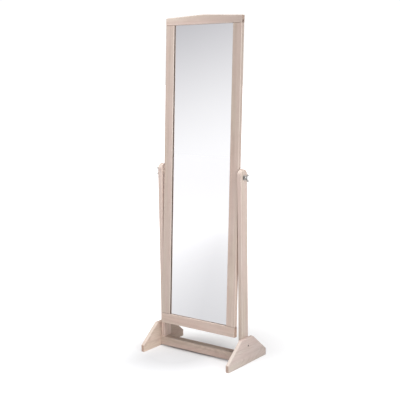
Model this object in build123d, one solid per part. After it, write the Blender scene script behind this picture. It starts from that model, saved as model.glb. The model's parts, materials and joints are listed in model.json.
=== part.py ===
"""Cheval floor mirror: a tall mirror in a grooved wooden frame that tilts between two posts.

Millimetres. The origin is on the floor, in the middle of the two feet. +X is the viewer's right,
+Y is the back and +Z is up. The mirror is modelled leaning back by REST_TILT, its pose at rest.
The mirror frame is drawn upright about the tilt axis, and lean() then puts it in its place.
"""

import os

from build123d import *

# Mirror frame. Its own heights are measured from the lower edge of the bottom rail.
FRAME_WIDTH = 446.0
FRAME_THICKNESS = 22.0
FRAME_PEAK = 1522.0
TOP_RAIL_RISE = 10.0
TOP_RAIL_END_HEIGHT = 35.0
BOTTOM_RAIL_HEIGHT = 50.0
STILE_WIDTH = 50.0
PIVOT_ABOVE_FRAME_BOTTOM = 766.0
REST_TILT = 3.2
LONG_EDGE_RADIUS = 3.2
END_CHAMFER = 0.8

# The groove that runs round the inside of the frame, and what sits in it from front to back.
FRONT_LIP = 5.0
GROOVE_WIDTH = 11.0
GROOVE_DEPTH = 13.0
PANEL_EDGE_GAP = 2.0
FOAM_THICKNESS = 4.0
FOAM_WIDTH = 9.0
GLASS_THICKNESS = 4.0
BACKING_THICKNESS = 3.0
BLOCK_LENGTH = 40.0
BLOCK_OFFSET = 110.0
TENON_SETBACK = 9.0
END_GAP = 0.5

# Stand.
PIVOT_HEIGHT = 896.0
POST_Y = 5.0
POST_GAP = 5.0
POST_THICKNESS = 22.0
POST_DEPTH = 52.0
POST_ABOVE_PIVOT = 40.0
POST_EDGE_RADIUS = 2.5
FOOT_THICKNESS = 18.0
FOOT_LENGTH = 320.0
FOOT_END_HEIGHT = 33.0
FOOT_HEIGHT = 125.0
FOOT_TOP_LENGTH = 96.0
FOOT_EDGE_RADIUS = 2.5
STRETCHER_DEPTH = 40.0
STRETCHER_HEIGHT = 44.0
STRETCHER_BOTTOM = 5.0
STRETCHER_Y = -8.0
STRETCHER_EDGE_RADIUS = 3.0

# Hidden dowels.
DOWEL_RADIUS = 4.0
DOWEL_LENGTH = 30.0
DOWEL_IN_FOOT = 12.0
POST_DOWEL_Y = 15.0
POST_DOWEL_Z = 18.0
STRETCHER_DOWEL_Z = 11.0

# Pivot hardware, M8.
STUD_RADIUS = 4.0
STUD_PAST_NUT = 3.5
INSERT_RADIUS = 6.0
INSERT_LENGTH = 16.0
WASHER_RADIUS = 12.0
WASHER_THICKNESS = 2.0
WASHER_CHAMFER = 0.25
SPRING_WASHER_RADIUS = 7.4
SPRING_WASHER_THICKNESS = 2.4
SPLIT_GAP = 1.2
SPLIT_SLANT = 25.0
NUT_BASE_RADIUS = 8.0
NUT_TOP_RADIUS = 6.5
NUT_HEIGHT = 10.0
WING_THICKNESS = 3.2
WING_EDGE_RADIUS = 1.05
WING_LOBE_RADIUS = 5.4
WING_LOBE_OUT = 13.6
WING_LOBE_UP = 16.2
WING_ROOT_RADIUS = 3.4
WING_ROOT_OUT = 5.2
WING_ROOT_UP = 4.6

# Foot bolt, M5 socket cap screw.
BOLT_RADIUS = 2.5
BOLT_LENGTH = 30.0
BOLT_HEAD_RADIUS = 4.25
BOLT_HEAD_HEIGHT = 5.0
BOLT_SOCKET_RADIUS = 2.3
BOLT_SOCKET_DEPTH = 2.5
BOLT_RECESS_DEPTH = 6.5
BOLT_RECESS_RADIUS = 4.5
BOLT_INSERT_RADIUS = 4.0
BOLT_BORE_WALL = 2.0
BOLT_HEAD_CHAMFER = 0.4

# Clearances, how far a cutting shape runs past the face it opens, and how exactly an edge is found.
SLIDING_GAP = 0.3
RUNNING_CLEARANCE = 0.07
GLUE_CLEARANCE = 0.05
WASHER_CLEARANCE = 0.2
OVERCUT = 1.0
EDGE_TOLERANCE = 0.01

# Worked out from the above.
FRAME_BOTTOM = -PIVOT_ABOVE_FRAME_BOTTOM
STILE_BOTTOM = FRAME_BOTTOM + BOTTOM_RAIL_HEIGHT
RAIL_END_TOP = FRAME_BOTTOM + FRAME_PEAK - TOP_RAIL_RISE
STILE_TOP = RAIL_END_TOP - TOP_RAIL_END_HEIGHT
STILE_LENGTH = STILE_TOP - STILE_BOTTOM
STILE_MIDDLE = (STILE_TOP + STILE_BOTTOM) / 2
FRAME_SIDE = FRAME_WIDTH / 2
OPENING_WIDTH = FRAME_WIDTH - 2 * STILE_WIDTH
PANEL_WIDTH = OPENING_WIDTH + 2 * (GROOVE_DEPTH - PANEL_EDGE_GAP)
PANEL_HEIGHT = STILE_LENGTH + 2 * (GROOVE_DEPTH - PANEL_EDGE_GAP)
GROOVE_FRONT = FRONT_LIP - FRAME_THICKNESS / 2
GROOVE_BACK = GROOVE_FRONT + GROOVE_WIDTH
GLASS_FRONT = GROOVE_FRONT + FOAM_THICKNESS
GLASS_BACK = GLASS_FRONT + GLASS_THICKNESS
POST_INSIDE = FRAME_SIDE + POST_GAP
POST_OUTSIDE = POST_INSIDE + POST_THICKNESS
FOOT_OUTSIDE = POST_OUTSIDE + FOOT_THICKNESS
STRETCHER_TOP = STRETCHER_BOTTOM + STRETCHER_HEIGHT
STRETCHER_MIDDLE = STRETCHER_BOTTOM + STRETCHER_HEIGHT / 2
POST_TOP = PIVOT_HEIGHT + POST_ABOVE_PIVOT
DOWEL_END = POST_OUTSIDE + DOWEL_IN_FOOT
DOWEL_START = DOWEL_END - DOWEL_LENGTH
BOLT_HEIGHT = (STRETCHER_TOP + FOOT_HEIGHT) / 2
WASHER_OUTSIDE = POST_OUTSIDE + WASHER_THICKNESS
SPRING_WASHER_OUTSIDE = WASHER_OUTSIDE + SPRING_WASHER_THICKNESS
NUT_START = SPRING_WASHER_OUTSIDE + SLIDING_GAP
STUD_END = NUT_START + NUT_HEIGHT + STUD_PAST_NUT
STUD_START = FRAME_SIDE - INSERT_LENGTH


def block(x_range, y_range, z_range):
    """A box between two corners."""
    size = [high - low for low, high in (x_range, y_range, z_range)]
    middle = [(low + high) / 2 for low, high in (x_range, y_range, z_range)]
    return Pos(*middle) * Box(*size)


def rod(radius, x_from, x_to, y, z):
    """A cylinder along X between two distances from the middle of the mirror."""
    centre = Pos((x_from + x_to) / 2, y, z)
    return centre * Rot(0, 90, 0) * Cylinder(radius, x_to - x_from)


def cone(radius_from, radius_to, x_from, x_to, y, z):
    """A cone along X between two distances from the middle of the mirror."""
    centre = Pos((x_from + x_to) / 2, y, z)
    return centre * Rot(0, 90, 0) * Cone(radius_from, radius_to, x_to - x_from)


def other_side(shape):
    """The same piece on the left."""
    return mirror(shape, about=Plane.YZ)


def lean(shape):
    """Puts a piece drawn about the tilt axis into the mirror at rest."""
    return Pos(0, POST_Y, PIVOT_HEIGHT) * Rot(-REST_TILT, 0, 0) * shape


def plate(outline, x_from, x_to):
    """A plate between two X faces from an outline of lines and arcs in the YZ plane."""
    face = make_face(outline)
    return extrude(Plane.YZ.offset(x_from) * face, x_to - x_from)


def soften(part, radius, bottom):
    """Rounds the edges round both broad faces of a plate, except along its underside."""
    rims = part.faces().sort_by(Axis.X)[0].edges() + part.faces().sort_by(Axis.X)[-1].edges()
    rims = [edge for edge in rims if edge.center().Z > bottom + EDGE_TOLERANCE]
    return fillet(rims, radius)


# --- mirror frame, drawn upright about the tilt axis ---


def right_stile():
    """A side board with the panel groove, a stub tenon at each end and the insert's bore."""
    inside = FRAME_SIDE - STILE_WIDTH
    half = FRAME_THICKNESS / 2
    board = block((inside, FRAME_SIDE), (-half, half), (STILE_BOTTOM, STILE_TOP))
    board = fillet(board.edges().filter_by(Axis.Z), LONG_EDGE_RADIUS)
    tenon_reach = GROOVE_DEPTH - END_GAP
    board += block(
        (inside + GROOVE_DEPTH, FRAME_SIDE - TENON_SETBACK),
        (GROOVE_FRONT, GROOVE_BACK),
        (STILE_BOTTOM - tenon_reach, STILE_TOP + tenon_reach),
    )
    board -= block(
        (inside - OVERCUT, inside + GROOVE_DEPTH),
        (GROOVE_FRONT, GROOVE_BACK),
        (STILE_BOTTOM - OVERCUT, STILE_TOP + OVERCUT),
    )
    bore_end = STUD_START - END_GAP
    board -= rod(INSERT_RADIUS + GLUE_CLEARANCE, bore_end, FRAME_SIDE + OVERCUT, 0, 0)
    return board


def rail(outline, groove_range):
    """A cross board with rounded long edges, crisp ends and the groove open at both ends."""
    half = FRAME_THICKNESS / 2
    board = extrude(Plane.XZ.offset(-half) * make_face(outline), FRAME_THICKNESS)
    ends = board.faces().sort_by(Axis.X)
    end_edges = ends[0].edges() + ends[-1].edges()
    long_edges = [
        edge
        for edge in board.edges()
        if abs(edge.center().Y) > half - EDGE_TOLERANCE and edge not in end_edges
    ]
    board = fillet(long_edges, LONG_EDGE_RADIUS)
    ends = board.faces().sort_by(Axis.X)
    board = chamfer(ends[0].edges() + ends[-1].edges(), END_CHAMFER)
    across = (-FRAME_SIDE - OVERCUT, FRAME_SIDE + OVERCUT)
    board -= block(across, (GROOVE_FRONT, GROOVE_BACK), groove_range)
    return board


def top_rail():
    """The gabled cross board: straight below, peaked above."""
    outline = Polyline(
        (-FRAME_SIDE, STILE_TOP),
        (FRAME_SIDE, STILE_TOP),
        (FRAME_SIDE, RAIL_END_TOP),
        (0, RAIL_END_TOP + TOP_RAIL_RISE),
        (-FRAME_SIDE, RAIL_END_TOP),
        close=True,
    )
    return rail(outline, (STILE_TOP - OVERCUT, STILE_TOP + GROOVE_DEPTH))


def bottom_rail():
    """The straight lower cross board."""
    outline = Polyline(
        (-FRAME_SIDE, FRAME_BOTTOM),
        (FRAME_SIDE, FRAME_BOTTOM),
        (FRAME_SIDE, STILE_BOTTOM),
        (-FRAME_SIDE, STILE_BOTTOM),
        close=True,
    )
    return rail(outline, (STILE_BOTTOM - GROOVE_DEPTH, STILE_BOTTOM + OVERCUT))


def panel(front, thickness):
    """A sheet that fills the frame's groove, its front face at a given depth."""
    half_width = PANEL_WIDTH / 2
    half_height = PANEL_HEIGHT / 2
    return block(
        (-half_width, half_width),
        (front, front + thickness),
        (STILE_MIDDLE - half_height, STILE_MIDDLE + half_height),
    )


def foam_strips():
    """Four strips round the edge of the glass, between it and the groove's front wall."""
    depth = (GROOVE_FRONT, GLASS_FRONT)
    side = PANEL_WIDTH / 2
    low = STILE_MIDDLE - PANEL_HEIGHT / 2
    high = STILE_MIDDLE + PANEL_HEIGHT / 2
    upright = block((side - FOAM_WIDTH, side), depth, (low, high))
    across = (FOAM_WIDTH - side, side - FOAM_WIDTH)
    lower = block(across, depth, (low, low + FOAM_WIDTH))
    upper = block(across, depth, (high - FOAM_WIDTH, high))
    return [upright, other_side(upright), lower, upper]


def setting_blocks():
    """Two pads that carry the glass and its backing in the bottom groove."""
    low = STILE_BOTTOM - GROOVE_DEPTH
    half = BLOCK_LENGTH / 2
    pad = block(
        (BLOCK_OFFSET - half, BLOCK_OFFSET + half),
        (GLASS_FRONT, GROOVE_BACK),
        (low, low + PANEL_EDGE_GAP),
    )
    return [pad, other_side(pad)]


def right_stile_insert():
    """The threaded insert in the side board, flush with its outer face."""
    sleeve = rod(INSERT_RADIUS, STUD_START, FRAME_SIDE, 0, 0)
    bore_radius = STUD_RADIUS + GLUE_CLEARANCE
    return sleeve - rod(bore_radius, STUD_START - OVERCUT, FRAME_SIDE + OVERCUT, 0, 0)


def right_pivot_stud():
    """The threaded stud that the mirror turns on, with both ends chamfered."""
    stud = rod(STUD_RADIUS, STUD_START, STUD_END, 0, 0)
    return chamfer(stud.edges().filter_by(GeomType.CIRCLE), END_CHAMFER)


# --- pivot hardware on the posts ---


def ring(outer_radius, x_from, x_to):
    """A washer on the tilt axis."""
    disc = rod(outer_radius, x_from, x_to, POST_Y, PIVOT_HEIGHT)
    disc = chamfer(disc.edges().filter_by(GeomType.CIRCLE), WASHER_CHAMFER)
    hole_radius = STUD_RADIUS + WASHER_CLEARANCE
    return disc - rod(hole_radius, x_from - OVERCUT, x_to + OVERCUT, POST_Y, PIVOT_HEIGHT)


def right_spring_washer():
    """A squeezed spring washer, split by a slanted cut at its top."""
    washer = ring(SPRING_WASHER_RADIUS, WASHER_OUTSIDE, SPRING_WASHER_OUTSIDE)
    middle = (WASHER_OUTSIDE + SPRING_WASHER_OUTSIDE) / 2
    cut_height = PIVOT_HEIGHT + SPRING_WASHER_RADIUS
    cutter = Box(2 * SPRING_WASHER_THICKNESS, SPLIT_GAP, SPRING_WASHER_RADIUS)
    return washer - Pos(middle, POST_Y, cut_height) * Rot(0, 0, SPLIT_SLANT) * cutter


def right_wing_nut():
    """A wing nut with a tapered hub and two round lobes that flare away from the post."""
    hub = cone(NUT_BASE_RADIUS, NUT_TOP_RADIUS, 0, NUT_HEIGHT, 0, 0)
    root = Pos(WING_ROOT_UP, WING_ROOT_OUT) * Circle(WING_ROOT_RADIUS)
    lobe = Pos(WING_LOBE_UP, WING_LOBE_OUT) * Circle(WING_LOBE_RADIUS)
    outline = make_hull(root.edges() + lobe.edges())
    wing = extrude(Plane.XZ * outline, WING_THICKNESS / 2, both=True)
    wing = fillet(wing.edges(), WING_EDGE_RADIUS)
    nut = hub + wing + mirror(wing, about=Plane.XY)
    nut -= rod(STUD_RADIUS + RUNNING_CLEARANCE, -OVERCUT, NUT_HEIGHT + OVERCUT, 0, 0)
    return Pos(NUT_START, POST_Y, PIVOT_HEIGHT) * nut


# --- stand ---


def right_foot():
    """A trapezoid board on its long edge, with a recessed bolt hole and blind dowel holes."""
    half_length = FOOT_LENGTH / 2
    half_top = FOOT_TOP_LENGTH / 2
    outline = Polyline(
        (-half_length, 0),
        (-half_length, FOOT_END_HEIGHT),
        (-half_top, FOOT_HEIGHT),
        (half_top, FOOT_HEIGHT),
        (half_length, FOOT_END_HEIGHT),
        (half_length, 0),
        close=True,
    )
    board = plate(outline, POST_OUTSIDE, FOOT_OUTSIDE)
    corners = [edge for edge in board.edges().filter_by(Axis.X) if edge.center().Z > EDGE_TOLERANCE]
    board = fillet(corners, FOOT_EDGE_RADIUS)
    board = soften(board, FOOT_EDGE_RADIUS, bottom=0)
    recess_floor = FOOT_OUTSIDE - BOLT_RECESS_DEPTH
    hole_radius = BOLT_RADIUS + WASHER_CLEARANCE
    board -= rod(hole_radius, POST_OUTSIDE - OVERCUT, FOOT_OUTSIDE, POST_Y, BOLT_HEIGHT)
    board -= rod(BOLT_RECESS_RADIUS, recess_floor, FOOT_OUTSIDE + OVERCUT, POST_Y, BOLT_HEIGHT)
    for y, z in post_dowel_spots() + stretcher_dowel_spots():
        board -= dowel_hole(y, z)
    return board


def post_dowel_spots():
    """Where the dowels between a foot and its post lie, in Y and Z."""
    return [(POST_Y + side * POST_DOWEL_Y, BOLT_HEIGHT + side * POST_DOWEL_Z) for side in (-1, 1)]


def stretcher_dowel_spots():
    """Where the dowels between a foot and the stretcher lie, in Y and Z."""
    return [(STRETCHER_Y, STRETCHER_MIDDLE + side * STRETCHER_DOWEL_Z) for side in (-1, 1)]


def dowel_hole(y, z):
    """The blind hole for one dowel, across the joint between the foot and what it holds."""
    return rod(
        DOWEL_RADIUS + GLUE_CLEARANCE, DOWEL_START - END_GAP, DOWEL_END + END_GAP, y, z
    )


def dowel(y, z):
    """One pin with chamfered ends."""
    pin = rod(DOWEL_RADIUS, DOWEL_START, DOWEL_END, y, z)
    return chamfer(pin.edges().filter_by(GeomType.CIRCLE), END_CHAMFER)


def right_post():
    """An upright board with a half-round top, bored for the pivot stud and the foot bolt."""
    front = POST_Y - POST_DEPTH / 2
    back = POST_Y + POST_DEPTH / 2
    shoulder = POST_TOP - POST_DEPTH / 2
    outline = [
        Polyline((front, shoulder), (front, STRETCHER_TOP), (back, STRETCHER_TOP), (back, shoulder)),
        ThreePointArc((back, shoulder), (POST_Y, POST_TOP), (front, shoulder)),
    ]
    board = plate(outline, POST_INSIDE, POST_OUTSIDE)
    board = soften(board, POST_EDGE_RADIUS, bottom=STRETCHER_TOP)
    pivot_radius = STUD_RADIUS + RUNNING_CLEARANCE
    across = (POST_INSIDE - OVERCUT, POST_OUTSIDE + OVERCUT)
    board -= rod(pivot_radius, *across, POST_Y, PIVOT_HEIGHT)
    bore_end = POST_INSIDE + BOLT_BORE_WALL
    board -= rod(
        BOLT_INSERT_RADIUS + GLUE_CLEARANCE, bore_end, POST_OUTSIDE + OVERCUT, POST_Y, BOLT_HEIGHT
    )
    for y, z in post_dowel_spots():
        board -= dowel_hole(y, z)
    return board


def stretcher():
    """The cross beam between the feet that the posts stand on."""
    half_depth = STRETCHER_DEPTH / 2
    beam = block(
        (-POST_OUTSIDE, POST_OUTSIDE),
        (STRETCHER_Y - half_depth, STRETCHER_Y + half_depth),
        (STRETCHER_BOTTOM, STRETCHER_TOP),
    )
    beam = fillet(beam.edges().filter_by(Axis.X), STRETCHER_EDGE_RADIUS)
    for y, z in stretcher_dowel_spots():
        hole = dowel_hole(y, z)
        beam -= hole
        beam -= other_side(hole)
    return beam


def right_foot_bolt():
    """A socket cap screw, its head below the foot's outer face."""
    head_inside = FOOT_OUTSIDE - BOLT_RECESS_DEPTH
    head_outside = head_inside + BOLT_HEAD_HEIGHT
    head = rod(BOLT_HEAD_RADIUS, head_inside, head_outside, POST_Y, BOLT_HEIGHT)
    rim = head.edges().filter_by(GeomType.CIRCLE).sort_by(Axis.X)[-1]
    head = chamfer(rim, BOLT_HEAD_CHAMFER)
    hexagon = Plane.YZ.offset(head_outside) * Pos(POST_Y, BOLT_HEIGHT) * RegularPolygon(
        BOLT_SOCKET_RADIUS, 6
    )
    head -= extrude(hexagon, -BOLT_SOCKET_DEPTH)
    shank = rod(BOLT_RADIUS, head_inside - BOLT_LENGTH, head_inside, POST_Y, BOLT_HEIGHT)
    return head + shank


def right_post_insert():
    """The threaded insert in the post that the foot bolt screws into."""
    start = POST_OUTSIDE - INSERT_LENGTH
    sleeve = rod(BOLT_INSERT_RADIUS, start, POST_OUTSIDE, POST_Y, BOLT_HEIGHT)
    bore_radius = BOLT_RADIUS + GLUE_CLEARANCE
    bore_range = (start - OVERCUT, POST_OUTSIDE + OVERCUT)
    return sleeve - rod(bore_radius, *bore_range, POST_Y, BOLT_HEIGHT)


def both_sides(pins):
    """The same pins at both ends."""
    return pins + [other_side(pin) for pin in pins]


def save(name, shapes):
    """Writes one node, as a single solid or a group of separate ones."""
    if isinstance(shapes, list):
        shapes = Compound(children=shapes)
    export_step(shapes, f"parts/{name}.step")


def save_pair(name, shape):
    """Writes the right-hand piece and its left-hand twin."""
    save(f"right_{name}", shape)
    save(f"left_{name}", other_side(shape))


def main():
    os.makedirs("parts", exist_ok=True)
    save("top_rail", lean(top_rail()))
    save("bottom_rail", lean(bottom_rail()))
    save_pair("stile", lean(right_stile()))
    save("mirror_glass", lean(panel(GLASS_FRONT, GLASS_THICKNESS)))
    save("foam_strips", [lean(strip) for strip in foam_strips()])
    save("backing_board", lean(panel(GLASS_BACK, BACKING_THICKNESS)))
    save("setting_blocks", [lean(pad) for pad in setting_blocks()])
    save_pair("stile_insert", lean(right_stile_insert()))
    save_pair("pivot_stud", lean(right_pivot_stud()))

    save_pair("spacer", ring(WASHER_RADIUS, FRAME_SIDE + SLIDING_GAP, POST_INSIDE))
    save_pair("washer", ring(WASHER_RADIUS, POST_OUTSIDE, WASHER_OUTSIDE))
    save_pair("spring_washer", right_spring_washer())
    save_pair("wing_nut", right_wing_nut())

    save_pair("foot", right_foot())
    save_pair("post", right_post())
    save("stretcher", stretcher())
    save_pair("foot_bolt", right_foot_bolt())
    save_pair("post_insert", right_post_insert())
    save("post_dowels", both_sides([dowel(y, z) for y, z in post_dowel_spots()]))
    save("stretcher_dowels", both_sides([dowel(y, z) for y, z in stretcher_dowel_spots()]))


main()
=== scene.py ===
"""Cheval floor mirror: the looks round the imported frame. Metres, +X viewer's right, +Z up."""

import json
import math

import bpy
from mathutils import Matrix, Vector


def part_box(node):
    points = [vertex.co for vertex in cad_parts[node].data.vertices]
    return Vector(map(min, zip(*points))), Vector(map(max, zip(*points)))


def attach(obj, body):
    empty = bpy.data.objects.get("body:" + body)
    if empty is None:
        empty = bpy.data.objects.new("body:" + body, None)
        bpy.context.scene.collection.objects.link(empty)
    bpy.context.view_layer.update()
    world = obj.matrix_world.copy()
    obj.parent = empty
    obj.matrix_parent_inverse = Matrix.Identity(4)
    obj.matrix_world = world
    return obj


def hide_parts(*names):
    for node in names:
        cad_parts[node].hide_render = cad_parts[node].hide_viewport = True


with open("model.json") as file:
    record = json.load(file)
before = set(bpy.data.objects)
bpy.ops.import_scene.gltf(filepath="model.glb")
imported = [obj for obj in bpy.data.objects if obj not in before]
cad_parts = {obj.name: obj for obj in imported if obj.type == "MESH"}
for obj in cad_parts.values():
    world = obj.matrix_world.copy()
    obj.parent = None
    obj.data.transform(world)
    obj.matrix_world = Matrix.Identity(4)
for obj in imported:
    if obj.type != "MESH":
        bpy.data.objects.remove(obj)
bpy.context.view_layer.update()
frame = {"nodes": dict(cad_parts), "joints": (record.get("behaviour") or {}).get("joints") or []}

NODES = frame["nodes"]
MM = 0.001
TILT_JOINT = next(joint for joint in frame["joints"] if joint["name"] == "mirror_tilt")
PIVOT = Vector(TILT_JOINT["pos_m"])
REST_LEAN = math.radians(3.2)


def both(name):
    return (f"left_{name}", f"right_{name}")


def colour(red, green, blue):
    return (red, green, blue, 1.0)


def scaled(body, factor):
    """A colour made lighter or darker."""
    return colour(*(factor * part for part in body[:3]))


# --- node materials ---


class Nodes:
    """A node tree that grows one node at a time."""

    def __init__(self, tree):
        self.tree = tree

    def add(self, kind, inputs=(), **settings):
        """One node, with its settings and its inputs as values or as links."""
        node = self.tree.nodes.new(kind)
        for setting, value in settings.items():
            setattr(node, setting, value)
        for socket, value in dict(inputs).items():
            self.feed(node, socket, value)
        return node

    def feed(self, node, socket, value):
        if isinstance(value, bpy.types.NodeSocket):
            self.tree.links.new(value, node.inputs[socket])
        else:
            node.inputs[socket].default_value = value

    def moved(self, vector, stretch=(1, 1, 1), turn=(0, 0, 0), shift=(0, 0, 0)):
        """A vector stretched, then turned, then shifted."""
        inputs = {"Vector": vector, "Scale": stretch, "Rotation": turn, "Location": shift}
        return self.add("ShaderNodeMapping", inputs).outputs[0]

    def length(self, vector):
        node = self.add("ShaderNodeVectorMath", {0: vector}, operation="LENGTH")
        return node.outputs["Value"]

    def parts(self, vector):
        """The X, Y and Z of a vector."""
        return self.add("ShaderNodeSeparateXYZ", {0: vector}).outputs

    def noise(self, vector, detail=3.0, roughness=0.5):
        """Soft noise with about one feature for each unit of the vector."""
        inputs = {"Vector": vector, "Scale": 1.0, "Detail": detail, "Roughness": roughness}
        return self.add("ShaderNodeTexNoise", inputs).outputs["Fac"]

    def spread(self, value, low, high, to_low=0.0, to_high=1.0, curve="LINEAR"):
        """Stretches a value from one range to another, and stops at its ends."""
        inputs = {"Value": value, 1: low, 2: high, 3: to_low, 4: to_high}
        node = self.add("ShaderNodeMapRange", inputs, clamp=True, interpolation_type=curve)
        return node.outputs[0]

    def math(self, operation, first, second=0.0):
        return self.add("ShaderNodeMath", {0: first, 1: second}, operation=operation).outputs[0]

    def mix(self, factor, first, second, blend="MIX"):
        """Two colours, mixed."""
        inputs = {0: factor, 6: first, 7: second}
        node = self.add("ShaderNodeMix", inputs, data_type="RGBA", blend_type=blend)
        return node.outputs[2]

    def seen(self):
        """1 where the camera looks straight at the surface or the sky, 0 for reflected light."""
        return self.add("ShaderNodeLightPath").outputs["Is Camera Ray"]


class Shader(Nodes):
    """A Principled material."""

    def __init__(self, name):
        self.material = bpy.data.materials.new(name)
        self.material.use_nodes = True
        super().__init__(self.material.node_tree)
        self.surface = self.tree.nodes["Principled BSDF"]

    def place(self):
        """Coordinates fixed to the piece, in metres."""
        return self.add("ShaderNodeTexCoord").outputs["Object"]

    def normal(self):
        return self.add("ShaderNodeTexCoord").outputs["Normal"]

    def grains(self, density, detail=3.0, roughness=0.5):
        """Noise with the same number of features a metre in every direction."""
        return self.noise(self.moved(self.place(), (density,) * 3), detail, roughness)

    def facing(self, direction, low, high):
        """1 where the surface looks along a direction or against it, 0 elsewhere."""
        inputs = {0: self.normal(), 1: direction}
        dot = self.add("ShaderNodeVectorMath", inputs, operation="DOT_PRODUCT").outputs["Value"]
        return self.spread(self.math("ABSOLUTE", dot), low, high)

    def bump(self, height, depth, strength):
        inputs = {"Height": height, "Distance": depth, "Strength": strength}
        return self.add("ShaderNodeBump", inputs).outputs[0]

    def finish(self, **inputs):
        """Sets the shader's own sockets. Underscores in a name stand for spaces."""
        for socket, value in inputs.items():
            self.feed(self.surface, socket.replace("_", " "), value)
        return self.material


# Where nearly all the values of a noise lie.
NOISE_RANGE = (0.3, 0.7)

# --- whitewashed beech ---

PALE_WOOD = colour(0.640, 0.533, 0.467)
DARK_WOOD = colour(0.430, 0.325, 0.265)
ROSY_WOOD = colour(0.585, 0.447, 0.395)
STRAW_WOOD = colour(0.560, 0.475, 0.390)
WHITENED_WOOD = colour(0.62, 0.53, 0.475)
# The paler colour of the rounded edges is partly a painted highlight.
SANDED_AND_HIGHLIT_WOOD = colour(0.74, 0.65, 0.57)
FLECK_BROWN = colour(0.33, 0.23, 0.17)
# The brown of the seam lines is painted shade.
SEAM_SHADE_BROWN = colour(0.20, 0.13, 0.10)
END_PALE = colour(0.50, 0.37, 0.30)
END_DARK = colour(0.39, 0.27, 0.21)
END_RING = colour(0.38, 0.25, 0.19)

# Layers of the grain: features a metre along the board and across it, octaves and roughness.
LAYERS = {
    "streaks": (0.9, 75, 2.0, 0.5),
    "fibres": (14, 700, 4.0, 0.6),
    "pores": (60, 2600, 2.0, 0.5),
    "flecks": (420, 2300, 1.0, 0.5),
    "clouds": (5, 22, 3.0, 0.6),
    "end_pores": (30, 1900, 3.0, 0.5),
}
TINT_STRETCH = (2.1, 26, 26)
TINT_SHIFT = (5.3, 2.1, 7.7)

# Growth rings: where they wander and how far, how little they change along the board, and how
# many features of noise they have a metre.
RING_WANDER_STRETCH = (1.4, 6, 6)
RING_WANDER = 0.030
RING_ALONG = 0.02
RING_DENSITY = 260.0
RING_OCTAVES = 3.0
RING_ROUGHNESS = 0.6

CLOUD_RANGE = (0.35, 0.65)
FLECK_RANGE = (0.64, 0.72)
PORE_RANGE = (0.35, 0.7)

# Coats over the pale wood: the layer, the range that it comes in over, its strength, its colour.
COATS = [
    ("rings", (0.40, 0.64), 0.75, DARK_WOOD),
    ("streaks", (0.44, 0.62), 0.60, DARK_WOOD),
    ("fibres", (0.42, 0.62), 0.45, DARK_WOOD),
    ("tint", (0.45, 0.62), 0.65, ROSY_WOOD),
    ("tint", (0.48, 0.34), 0.60, STRAW_WOOD),
    ("clouds", CLOUD_RANGE, 0.35, WHITENED_WOOD),
    ("flecks", FLECK_RANGE, 0.45, FLECK_BROWN),
]

# How far the heart lies from the board's own axes, and how each step of the seed moves the grain.
HEART_OFFSET = (0.11, 0.05)
SEED_ALONG = 1.37
SEED_ACROSS = (0.013, -0.009)

END_FACING = (0.72, 0.93)
END_RING_STRENGTH = 0.35
# How much a painted shade tint takes from green and blue.
SHADE_WARM_GREEN_LOSS = 0.04
SHADE_WARM_BLUE_LOSS = 0.09
FLAT_TO_ROUND = (0.985, 0.90)
SANDING_AND_HIGHLIGHT = (0.3, 0.7)
FIBRE_HEIGHT = 0.5
FLECK_HEIGHT = 0.6
GRAIN_DEPTH = 0.12 * MM
GRAIN_BUMP = 0.55
WOOD_ROUGHNESS = (0.52, 0.66)
WOOD_SPECULAR = 0.35

# Where the painted shade line at each end of a stile fades, measured from the rail's edge, and its
# strength.
LOWER_LINE = (1.2 * MM, 1.9 * MM)
UPPER_LINE = (-0.8 * MM, -0.1 * MM)
LINE_STRENGTH = 0.8

# Turning one axis on to +X, the grain's own direction in the wood shader.
ALONG = {
    "x": (0, 0, 0),
    "y": (0, 0, -math.pi / 2),
    "z": (0, math.pi / 2, 0),
}
AXES = {"x": Vector((1, 0, 0)), "y": Vector((0, 1, 0)), "z": Vector((0, 0, 1))}


def wood(name, node, axis, seed, tones=(1.0, 1.0), shade_warmth=0.0, lean=0.0):
    """Whitewashed beech: growth rings about a far heart, fibres, ray flecks and darker end grain.

    The two tones are how light the board is at the low and the high end of its length."""
    shader = Shader(name)
    layers = grain_layers(shader, axis, seed, lean)
    body = PALE_WOOD
    for layer, (low, high), strength, coat in COATS:
        body = shader.mix(shader.spread(layers[layer], low, high, 0.0, strength), body, coat)
    if node in both("stile"):
        # Painted shade in the seams where a stile meets the rails, partly a darker wash soaked into
        # the joint.
        body = shader.mix(seam_shade_lines(shader), body, SEAM_SHADE_BROWN)
    body = shader.mix(end_faces(shader, axis, lean), body, end_grain(shader, layers))
    body = shader.mix(1.0, body, board_tone(shader, node, axis, tones), "MULTIPLY")
    # Painted colour of light and shade: the whole board is tinted warmer where it stands in shade
    # and cooler where the cool light falls.
    shade_tint = colour(1.0, 1.0 - SHADE_WARM_GREEN_LOSS * shade_warmth, 1.0 - SHADE_WARM_BLUE_LOSS * shade_warmth)
    body = shader.mix(1.0, body, shade_tint, "MULTIPLY")
    # Paler rounded edges, in patches: a painted highlight where the rounded edges catch the light,
    # mixed with sanded wear.
    patches = shader.spread(layers["clouds"], *CLOUD_RANGE, *SANDING_AND_HIGHLIGHT)
    sanded_and_highlit = shader.math("MULTIPLY", rounded_edges(shader), patches)
    body = shader.mix(sanded_and_highlit, body, SANDED_AND_HIGHLIT_WOOD)

    fibre_height = shader.math("MULTIPLY", layers["fibres"], FIBRE_HEIGHT)
    height = shader.math("ADD", fibre_height, layers["pores"])
    fleck_height = shader.spread(layers["flecks"], *FLECK_RANGE, 0.0, FLECK_HEIGHT)
    height = shader.math("SUBTRACT", height, fleck_height)
    return shader.finish(
        Base_Color=body,
        Roughness=shader.spread(layers["fibres"], *NOISE_RANGE, *WOOD_ROUGHNESS),
        Normal=shader.bump(height, GRAIN_DEPTH, GRAIN_BUMP),
        Specular_IOR_Level=WOOD_SPECULAR,
    )


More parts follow.
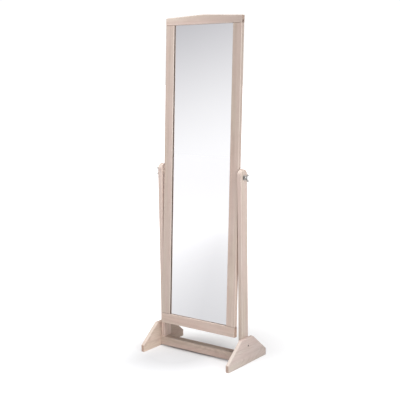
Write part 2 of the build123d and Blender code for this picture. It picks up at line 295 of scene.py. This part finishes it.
def grain_layers(shader, axis, seed, lean):
    """The noise of every grain layer, by name, with the board's length turned on to +X."""
    shift = (
        SEED_ALONG * seed,
        HEART_OFFSET[0] + SEED_ACROSS[0] * seed,
        HEART_OFFSET[1] + SEED_ACROSS[1] * seed,
    )
    upright = shader.moved(shader.place(), turn=(lean, 0, 0))
    grain = shader.moved(upright, turn=ALONG[axis], shift=shift)
    layers = {}
    for name, (along, across, octaves, roughness) in LAYERS.items():
        place = shader.moved(grain, (along, across, across))
        layers[name] = shader.noise(place, octaves, roughness)
    layers["tint"] = shader.noise(shader.moved(grain, TINT_STRETCH, shift=TINT_SHIFT), 2.0)
    layers["rings"] = growth_rings(shader, grain)
    return layers


def growth_rings(shader, grain):
    """Uneven rings about a heart that runs nearly along the board, outside it."""
    wander = shader.noise(shader.moved(grain, RING_WANDER_STRETCH), 2.0)
    from_heart = shader.length(shader.moved(grain, (RING_ALONG, 1, 1)))
    warped = shader.math("ADD", from_heart, shader.math("MULTIPLY", wander, RING_WANDER))
    inputs = {
        "W": shader.math("MULTIPLY", warped, RING_DENSITY),
        "Detail": RING_OCTAVES,
        "Roughness": RING_ROUGHNESS,
    }
    return shader.add("ShaderNodeTexNoise", inputs, noise_dimensions="1D").outputs["Fac"]


def end_faces(shader, axis, lean):
    """1 on the board's two ends, 0 along it."""
    along = AXES[axis].copy()
    along.rotate(Matrix.Rotation(-lean, 3, "X"))
    return shader.facing(tuple(along), *END_FACING)


def end_grain(shader, layers):
    """The darker, more porous colour of the board's ends."""
    body = shader.mix(shader.spread(layers["end_pores"], *PORE_RANGE), END_PALE, END_DARK)
    rings = shader.math("MULTIPLY", layers["rings"], END_RING_STRENGTH)
    return shader.mix(rings, body, END_RING)


def board_tone(shader, node, axis, tones):
    """A grey that goes from one tone to the other along the board."""
    low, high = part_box(node)
    number = "xyz".index(axis)
    spot = shader.parts(shader.place())[axis.upper()]
    tone = shader.spread(spot, low[number], high[number], *tones)
    return shader.add("ShaderNodeCombineColor", {0: tone, 1: tone, 2: tone}).outputs[0]


def rounded_edges(shader):
    """1 on the rounded edges, painted paler, and 0 on the flat faces: the paleness is partly sanded
    wear and partly a painted highlight.
    """
    absolute = shader.add("ShaderNodeVectorMath", {0: shader.normal()}, operation="ABSOLUTE")
    parts = shader.parts(absolute.outputs[0])
    flat = shader.math("MAXIMUM", shader.math("MAXIMUM", parts["X"], parts["Y"]), parts["Z"])
    return shader.spread(flat, *FLAT_TO_ROUND)


def seam_shade_lines(shader):
    """1 in the fine lines of painted shade where a stile meets the two rails, 0 elsewhere."""
    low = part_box("bottom_rail")[1][2]
    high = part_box("top_rail")[0][2]
    height = shader.parts(shader.place())["Z"]
    lower = shader.spread(height, low + LOWER_LINE[0], low + LOWER_LINE[1], 1.0, 0.0)
    upper = shader.spread(height, high + UPPER_LINE[0], high + UPPER_LINE[1])
    return shader.math("MULTIPLY", shader.math("MAXIMUM", lower, upper), LINE_STRENGTH)


# --- the other materials ---

SILVER_DARK = colour(0.842, 0.840, 0.852)
SILVER_PALE = colour(0.852, 0.850, 0.862)
GLASS_EDGE = colour(0.10, 0.20, 0.16)
GLASS_FACING = (0.9, 0.98)
HAZE_DENSITY = 7
HAZE_RANGE = (0.3, 0.8)
SILVER_ROUGHNESS = (0.008, 0.02)

HARDBOARD_DARK = colour(0.27, 0.16, 0.09)
HARDBOARD_PALE = colour(0.40, 0.26, 0.16)
HARDBOARD_STAIN = colour(0.24, 0.15, 0.09)
HARDBOARD_FIBRES = 900
HARDBOARD_CLOUDS = 9
HARDBOARD_RANGE = (0.35, 0.65)
HARDBOARD_ROUGHNESS = (0.45, 0.65)
STAIN_STRENGTH = 0.35
FIBRE_DEPTH = 0.1 * MM
FIBRE_BUMP = 0.5

METAL_MARKS = 900
METAL_CLOUDS = 140
METAL_SHADE = 0.82
MARK_ROUGHNESS = (-0.06, 0.1)
MARK_DEPTH = 0.04 * MM
MARK_BUMP = 0.4

CELL_LIGHTENING = 1.5
CELL_ROUGHNESS = (-0.08, 0.08)
CELL_BUMP = 0.5


def mirror():
    """Silvered float glass with green edges."""
    shader = Shader("mirror")
    across = (0, math.cos(REST_LEAN), -math.sin(REST_LEAN))
    face = shader.facing(across, *GLASS_FACING)
    haze = shader.grains(HAZE_DENSITY, detail=4.0)
    return shader.finish(
        Base_Color=shader.mix(face, GLASS_EDGE, shader.mix(haze, SILVER_DARK, SILVER_PALE)),
        Metallic=face,
        Roughness=shader.spread(haze, *HAZE_RANGE, *SILVER_ROUGHNESS),
    )


def hardboard():
    """Smooth brown hardboard with its pressed fibres."""
    shader = Shader("hardboard")
    fibres = shader.grains(HARDBOARD_FIBRES, detail=4.0, roughness=0.7)
    clouds = shader.grains(HARDBOARD_CLOUDS)
    pale = shader.spread(fibres, *HARDBOARD_RANGE)
    body = shader.mix(pale, HARDBOARD_DARK, HARDBOARD_PALE)
    stain = shader.spread(clouds, *NOISE_RANGE, 0.0, STAIN_STRENGTH)
    return shader.finish(
        Base_Color=shader.mix(stain, body, HARDBOARD_STAIN),
        Roughness=shader.spread(fibres, *NOISE_RANGE, *HARDBOARD_ROUGHNESS),
        Normal=shader.bump(fibres, FIBRE_DEPTH, FIBRE_BUMP),
    )


def metal(name, body, roughness):
    """Plated metal with fine marks and a soft change of sheen."""
    shader = Shader(name)
    marks = shader.grains(METAL_MARKS, detail=5.0)
    clouds = shader.spread(shader.grains(METAL_CLOUDS), *PORE_RANGE)
    sheen = [roughness + change for change in MARK_ROUGHNESS]
    return shader.finish(
        Base_Color=shader.mix(clouds, body, scaled(body, METAL_SHADE)),
        Metallic=1.0,
        Roughness=shader.spread(marks, *NOISE_RANGE, *sheen),
        Normal=shader.bump(marks, MARK_DEPTH, MARK_BUMP),
    )


def soft(name, body, roughness, density, depth):
    """Foam, rubber or nylon: a dull body with a fine moulded grain."""
    shader = Shader(name)
    cells = shader.grains(density)
    lighter = shader.spread(cells, *PORE_RANGE)
    sheen = [roughness + change for change in CELL_ROUGHNESS]
    return shader.finish(
        Base_Color=shader.mix(lighter, body, scaled(body, CELL_LIGHTENING)),
        Roughness=shader.spread(cells, *NOISE_RANGE, *sheen),
        Normal=shader.bump(cells, depth, CELL_BUMP),
    )


# --- painting the CAD nodes ---

# Each board with its grain's direction, a seed, its tones at both ends, its shade warmth and its
# lean. The shade warmth is a painted tint: warmer for boards in shade, cooler for the right foot
# under the cool light.
BOARDS = [
    ("top_rail", "x", 1.0, (1.22, 0.83), 0.0, REST_LEAN),
    ("bottom_rail", "x", 2.3, (1.18, 1.18), 0.5, REST_LEAN),
    ("left_stile", "z", 3.1, (1.11, 1.06), 0.1, REST_LEAN),
    ("right_stile", "z", 4.7, (1.20, 0.83), 0.3, REST_LEAN),
    ("left_post", "z", 5.2, (1.38, 1.20), 0.0, 0.0),
    ("right_post", "z", 6.9, (1.10, 1.16), 0.1, 0.0),
    ("left_foot", "y", 7.4, (1.28, 0.96), 0.9, 0.0),
    ("right_foot", "y", 8.8, (1.26, 1.05), -0.5, 0.0),
    ("stretcher", "x", 9.5, (1.04, 1.16), 0.7, 0.0),
]
DOWEL_SEED = 11.0
STEEL = metal("zinc_steel", colour(0.50, 0.50, 0.485), 0.28)

# Dull pieces: material, colour, roughness, cells a metre, depth of the grain, and CAD nodes.
DULL_PARTS = [
    # The foam's dark warm brown is painted shade: it stands for the shaded recess between the
    # frame's lip and the glass.
    ("foam", colour(0.046, 0.027, 0.018), 0.9, 2500, 0.2 * MM, ["foam_strips"]),
    ("rubber_pad", colour(0.012, 0.012, 0.012), 0.7, 1200, 0.05 * MM, ["setting_blocks"]),
    ("natural_nylon", colour(0.40, 0.33, 0.27), 0.5, 900, 0.04 * MM, both("spacer")),
]

# The other metal pieces: material, colour, roughness and CAD nodes.
METAL_PARTS = [
    ("dark_steel", colour(0.10, 0.10, 0.105), 0.42, both("foot_bolt") + both("spring_washer")),
    ("brass_insert", colour(0.62, 0.45, 0.20), 0.35, both("stile_insert") + both("post_insert")),
]


def paint(material, *names):
    """Gives CAD nodes their material."""
    for name in names:
        for place in NODES[name].material_slots:
            place.material = material


def paint_frame():
    for node, *grain in BOARDS:
        paint(wood(f"wood_{node}", node, *grain), node)
    beech = wood("beech_dowel", "post_dowels", "x", DOWEL_SEED)
    paint(beech, "post_dowels", "stretcher_dowels")
    paint(mirror(), "mirror_glass")
    paint(hardboard(), "backing_board")
    for *look, nodes in DULL_PARTS:
        paint(soft(*look), *nodes)
    for *look, nodes in METAL_PARTS:
        paint(metal(*look), *nodes)
    paint(STEEL, *both("washer"))


# --- pivot hardware ---

FORGING_VOXEL = 0.38 * MM
FORGING_SMOOTHING = 14
THREAD_PITCH = 1.25 * MM
THREAD_DEPTH = 0.62 * MM
THREAD_LENGTH = 22 * MM
THREAD_ROWS_A_TURN = 10
THREAD_SIDES = 48
THREAD_FLANK_SLOPE = 1.6
THREAD_ROOT_FLAT = 0.2
STUD_CHAMFER = 0.8 * MM


def stand_in(mesh, node, body):
    """A new steel piece in place of a CAD node."""
    piece = bpy.data.objects.new(f"{node}_made", mesh)
    bpy.context.scene.collection.objects.link(piece)
    use_steel(mesh)
    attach(piece, body)
    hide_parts(node)
    return piece


def use_steel(mesh):
    mesh.materials.clear()
    mesh.materials.append(STEEL)


def forge_wing_nut(node):
    """The wing nut with the soft edges and flowing roots of a forging."""
    piece = stand_in(NODES[node].data.copy(), node, node)
    remesh = piece.modifiers.new("remesh", "REMESH")
    remesh.mode = "VOXEL"
    remesh.voxel_size = FORGING_VOXEL
    smooth = piece.modifiers.new("smooth", "SMOOTH")
    smooth.iterations = FORGING_SMOOTHING
    settled = bpy.data.meshes.new_from_object(
        piece.evaluated_get(bpy.context.evaluated_depsgraph_get())
    )
    piece.modifiers.clear()
    piece.data = settled
    use_steel(settled)
    settled.polygons.foreach_set("use_smooth", [True] * len(settled.polygons))


def thread_radius(turn, along, from_end, radius):
    """The stud's radius at one point of its thread, with a chamfer at its end."""
    phase = (along / THREAD_PITCH - turn) % 1.0
    flank = abs(2.0 * phase - 1.0)
    ridge = min(max(THREAD_FLANK_SLOPE * flank - THREAD_ROOT_FLAT, 0.0), 1.0)
    run_out = min(max((THREAD_LENGTH - from_end) / THREAD_PITCH, 0.0), 1.0)
    threaded = radius - THREAD_DEPTH * (1.0 - ridge) * run_out
    return min(threaded, radius - STUD_CHAMFER + from_end)


def thread_rows(inner, outer):
    """Where the rings of points lie along the stud, from its plain end to its threaded end."""
    step = THREAD_PITCH / THREAD_ROWS_A_TURN
    count = round((THREAD_LENGTH + THREAD_PITCH) / step)
    rows = [inner, inner + STUD_CHAMFER, outer - THREAD_LENGTH - THREAD_PITCH]
    return rows + [outer - (count - 1 - number) * step for number in range(count)]


def tube_faces(row_count, side):
    """The quads between the rings of points, and a cap at both ends."""
    faces = []
    for row in range(row_count - 1):
        for spot in range(THREAD_SIDES):
            here = row * THREAD_SIDES + spot
            beside = row * THREAD_SIDES + (spot + 1) % THREAD_SIDES
            quad = (here, beside, beside + THREAD_SIDES, here + THREAD_SIDES)
            faces.append(quad[::side])
    last = (row_count - 1) * THREAD_SIDES
    start_cap = tuple(range(THREAD_SIDES))
    end_cap = tuple(range(last, last + THREAD_SIDES))
    return faces + [start_cap[::-side], end_cap[::side]]


def cut_stud(node):
    """The pivot stud with its thread cut where the wing nut runs."""
    low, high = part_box(node)
    side = 1 if high[0] > 0 else -1
    inner, outer = sorted((abs(low[0]), abs(high[0])))
    radius = (high[1] - low[1]) / 2
    rows = thread_rows(inner, outer)
    points = []
    for along in rows:
        for spot in range(THREAD_SIDES):
            turn = spot / THREAD_SIDES
            size = thread_radius(turn, along, outer - along, radius)
            if along == inner:
                size = radius - STUD_CHAMFER
            angle = 2 * math.pi * turn
            across = (PIVOT.y + size * math.cos(angle), PIVOT.z + size * math.sin(angle))
            points.append((side * along, *across))
    mesh = bpy.data.meshes.new(f"{node}_mesh")
    mesh.from_pydata(points, [], tube_faces(len(rows), side))
    stand_in(mesh, node, "mirror")


# --- floor and sky ---

FLOOR_HALF = 40.0
FLOOR_GREY = colour(0.70, 0.70, 0.70)
FLOOR_ROUGHNESS = 0.8
FLOOR_SPECULAR = 0.1

# How far the floor's glow rises for each metre along X and Y, or outwards, whichever is more.
GLOW_RISE_X = -0.355
GLOW_RISE_Y = 0.109
GLOW_RISE_OUTWARD = 0.11
GLOW_RANGE = (0.04, 0.72)
FLOOR_GLOW = 0.96
FLOOR_WHITENING = 0.33
HALO_CENTRE = (-0.10, -0.10, 0.0)
HALO_INNER = 0.12
HALO_OUTER = 0.36

# The white horizon turns into the room's colours between two heights, which are lower on the
# left. The ranges are parts of the way one looks, which is 1 long.
HORIZON = colour(1.18, 1.18, 1.19)
ROOM_IN_FRONT = colour(0.350, 0.342, 0.372)
ROOM_BEHIND = colour(0.10, 0.10, 0.10)
BACKDROP = colour(1.05, 1.05, 1.05)
BEHIND_RANGE = (-0.1, 0.25)
LEFT_RANGE = (-0.8, -0.4)
LEFT_LOWERING = (0.412, 0.206)
FRONT_FADE = (0.26, 0.58)
BACK_FADE = (0.08, 0.30)


def add_floor():
    """A pale floor with a painted glow that makes it brighter far off and to the left, and a
    further painted glow that only the camera sees, whitened as in a product picture.

    The camera's painted glow stops short of the stand and leaves a soft grey halo round it."""
    corners = [(-1, -1), (1, -1), (1, 1), (-1, 1)]
    mesh = bpy.data.meshes.new("floor")
    points = [(x * FLOOR_HALF, y * FLOOR_HALF, 0) for x, y in corners]
    mesh.from_pydata(points, [], [(0, 1, 2, 3)])
    floor = bpy.data.objects.new("floor", mesh)
    bpy.context.scene.collection.objects.link(floor)
    shader = Shader("floor")
    spot = shader.parts(shader.place())
    leftward = shader.math("MULTIPLY", spot["X"], GLOW_RISE_X)
    leftward = shader.math("ADD", leftward, shader.math("MULTIPLY", spot["Y"], GLOW_RISE_Y))
    outward = shader.math("MULTIPLY", shader.length(shader.place()), GLOW_RISE_OUTWARD)
    far = shader.math("MAXIMUM", leftward, outward)
    glow = shader.spread(far, *GLOW_RANGE, 0.0, FLOOR_GLOW)
    from_halo = shader.add(
        "ShaderNodeVectorMath", {0: shader.place(), 1: HALO_CENTRE}, operation="DISTANCE"
    ).outputs["Value"]
    whitening = shader.spread(from_halo, HALO_INNER, HALO_OUTER, 0.0, FLOOR_WHITENING)
    # Painted glow that only the camera sees, away from the halo round the stand.
    shown = shader.math("MULTIPLY", shader.seen(), whitening)
    shader.finish(
        Base_Color=FLOOR_GREY,
        Roughness=FLOOR_ROUGHNESS,
        Specular_IOR_Level=FLOOR_SPECULAR,
        Emission_Color=colour(1, 1, 1),
        Emission_Strength=shader.math("ADD", glow, shown),
    )
    mesh.materials.append(shader.material)


def add_world():
    """A white horizon all round under a greyer room, and a plain white one for the camera."""
    world = bpy.data.worlds.new("studio")
    world.use_nodes = True
    bpy.context.scene.world = world
    room = Nodes(world.node_tree)
    way = room.parts(room.add("ShaderNodeTexCoord").outputs["Generated"])
    behind = room.spread(way["Y"], *BEHIND_RANGE)
    lowering = room.spread(way["X"], *LEFT_RANGE, *LEFT_LOWERING)
    rise = room.math("ADD", way["Z"], lowering)
    front_fade = room.spread(rise, *FRONT_FADE, curve="SMOOTHSTEP")
    front = room.mix(front_fade, HORIZON, ROOM_IN_FRONT)
    back = room.mix(room.spread(way["Z"], *BACK_FADE), HORIZON, ROOM_BEHIND)
    shown = room.mix(room.seen(), room.mix(behind, front, back), BACKDROP)
    room.feed(world.node_tree.nodes["Background"], "Color", shown)


# --- lights and camera ---

CAMERA_PLACE = Vector((2.4422, -3.2273, 1.4281))
CAMERA_AZIMUTH = math.radians(37.18)
CAMERA_PITCH = math.radians(9.22)
CAMERA_ROLL = math.radians(-0.84)
CAMERA_LENS = 76.27
CAMERA_SENSOR = 36.0
COOL_WHITE = (0.95, 1.01, 1.03)


def add_light(name, place, target, size, power, tint=(1, 1, 1), glossy=True):
    """A square softbox, with or without its own reflections."""
    lamp = bpy.data.lights.new(name, "AREA")
    lamp.size = size
    lamp.energy = power
    lamp.color = tint
    light = bpy.data.objects.new(name, lamp)
    light.location = place
    look = Vector(target) - Vector(place)
    light.rotation_euler = look.to_track_quat("-Z", "Y").to_euler()
    light.visible_camera = False
    light.visible_glossy = glossy
    bpy.context.scene.collection.objects.link(light)


def add_camera():
    """The viewer stands to the right and higher than the pivots, and looks slightly down."""
    lens = bpy.data.cameras.new("camera")
    lens.lens = CAMERA_LENS
    lens.sensor_width = CAMERA_SENSOR
    camera = bpy.data.objects.new("camera", lens)
    bpy.context.scene.collection.objects.link(camera)
    level = Vector((-math.sin(CAMERA_AZIMUTH), math.cos(CAMERA_AZIMUTH), 0))
    forward = level * math.cos(CAMERA_PITCH) - Vector((0, 0, math.sin(CAMERA_PITCH)))
    side = Vector((math.cos(CAMERA_AZIMUTH), math.sin(CAMERA_AZIMUTH), 0))
    above = side.cross(forward)
    right = side * math.cos(CAMERA_ROLL) + above * math.sin(CAMERA_ROLL)
    up = above * math.cos(CAMERA_ROLL) - side * math.sin(CAMERA_ROLL)
    turn = Matrix((right, up, -forward)).transposed()
    camera.matrix_world = Matrix.Translation(CAMERA_PLACE) @ turn.to_4x4()
    bpy.context.scene.camera = camera


paint_frame()
for wing_nut in both("wing_nut"):
    forge_wing_nut(wing_nut)
for stud in both("pivot_stud"):
    cut_stud(stud)
add_floor()
add_world()
add_light("overhead", (0.0, -0.6, 6.0), target=(0, -0.1, 0.6), size=1.7, power=240)
add_light("right", (3.3, -0.9, 2.2), target=(0, 0, 1.0), size=1.6, power=51, tint=COOL_WHITE)
add_light("behind", (-1.0, 4.2, 1.0), target=(0, 0, 0.9), size=2.2, power=32, glossy=False)
add_camera()
bpy.context.scene.view_settings.view_transform = "Standard"
